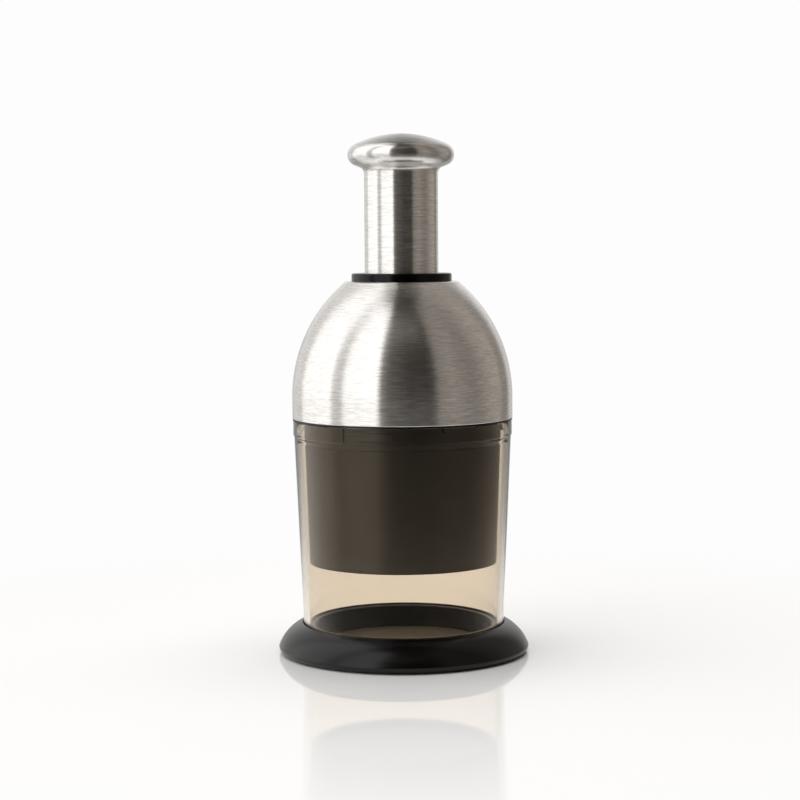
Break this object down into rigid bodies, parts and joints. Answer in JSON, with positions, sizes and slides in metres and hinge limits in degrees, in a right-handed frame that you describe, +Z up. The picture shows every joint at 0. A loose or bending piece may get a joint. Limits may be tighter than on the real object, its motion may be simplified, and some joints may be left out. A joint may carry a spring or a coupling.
{
  "type": "plunger food chopper",
  "caption": "Hand food chopper: a knob on a sprung steel stem drives turning zigzag blades down into a smoky clear cup that stands on a flared black base.",
  "frame": {"origin": "centre of the foot ring's bottom face, on the surface that the chopper stands on", "axes": "+Z up along the plunger's axis, -Y towards the front of the picture"},
  "size_m": [0.1096, 0.1096, 0.226],
  "materials": {
    "brushed_steel": "fine brushing round the axis",
    "black_plastic": "satin black moulding",
    "collar_plastic": "smooth black moulding",
    "smoky_cup": "clear smoky brown plastic",
    "disc_plastic": "satin greyish brown",
    "soft_rubber": "matte",
    "white_acetal": "smooth, waxy",
    "spring_steel": "drawn wire",
    "plated_steel": "zinc plated",
    "blade_steel": "cold rolled strip with a ground edge"
  },
  "bodies": {
    "base": {"base_tray": "black_plastic", "foot_ring": "soft_rubber", "chopping_disc": "disc_plastic"},
    "cup_body": {"cup": "smoky_cup"},
    "head": {"dome_shell": "brushed_steel", "dome_liner": "black_plastic", "collar_bush": "collar_plastic", "collar_nut": "black_plastic", "guard": "black_plastic", "bridge": "black_plastic", "bridge_screws": "plated_steel", "index_nut": "white_acetal", "spring": "spring_steel"},
    "plunger": {"knob_cap": "brushed_steel", "knob_plug": "black_plastic", "plunger_tube": "brushed_steel", "stop_ring": "soft_rubber"},
    "rotor": {"drive_shaft": "white_acetal", "shaft_washer": "plated_steel", "shaft_screw": "plated_steel", "blade_carrier": "black_plastic", "carrier_washer": "plated_steel", "carrier_screw": "plated_steel", "blade_1": "blade_steel", "blade_2": "blade_steel", "blade_3": "blade_steel"},
    "wiper": {"ejector": "black_plastic"}
  },
  "joints": [
    {"name": "cup_lift", "type": "slide", "parent": "base", "child": "cup_body", "axis": [0, 0, 1], "range_m": [0, 0.045]},
    {"name": "head_twist", "type": "hinge", "parent": "cup_body", "child": "head", "pos_m": [0, 0, 0.1], "axis": [0, 0, 1], "range_deg": [0, 29.5]},
    {"name": "plunger_press", "type": "slide", "parent": "head", "child": "plunger", "axis": [0, 0, -1], "range_m": [0, 0.042], "stiffness_N_per_m": 400, "springref_m": -0.02, "deforming": ["spring"]},
    {"name": "blade_index", "type": "hinge", "parent": "plunger", "child": "rotor", "pos_m": [0, 0, 0.1], "axis": [0, 0, 1], "range_deg": [0, 36.5]},
    {"name": "ejector_turn", "type": "hinge", "parent": "head", "child": "wiper", "pos_m": [0, 0, 0.043], "axis": [0, 0, 1], "range_deg": [0, 36.5]}
  ],
  "couplings": [
    {"joint": "blade_index", "follows": "plunger_press", "rad_per_m": 14.96},
    {"joint": "ejector_turn", "follows": "plunger_press", "rad_per_m": 14.96}
  ]
}
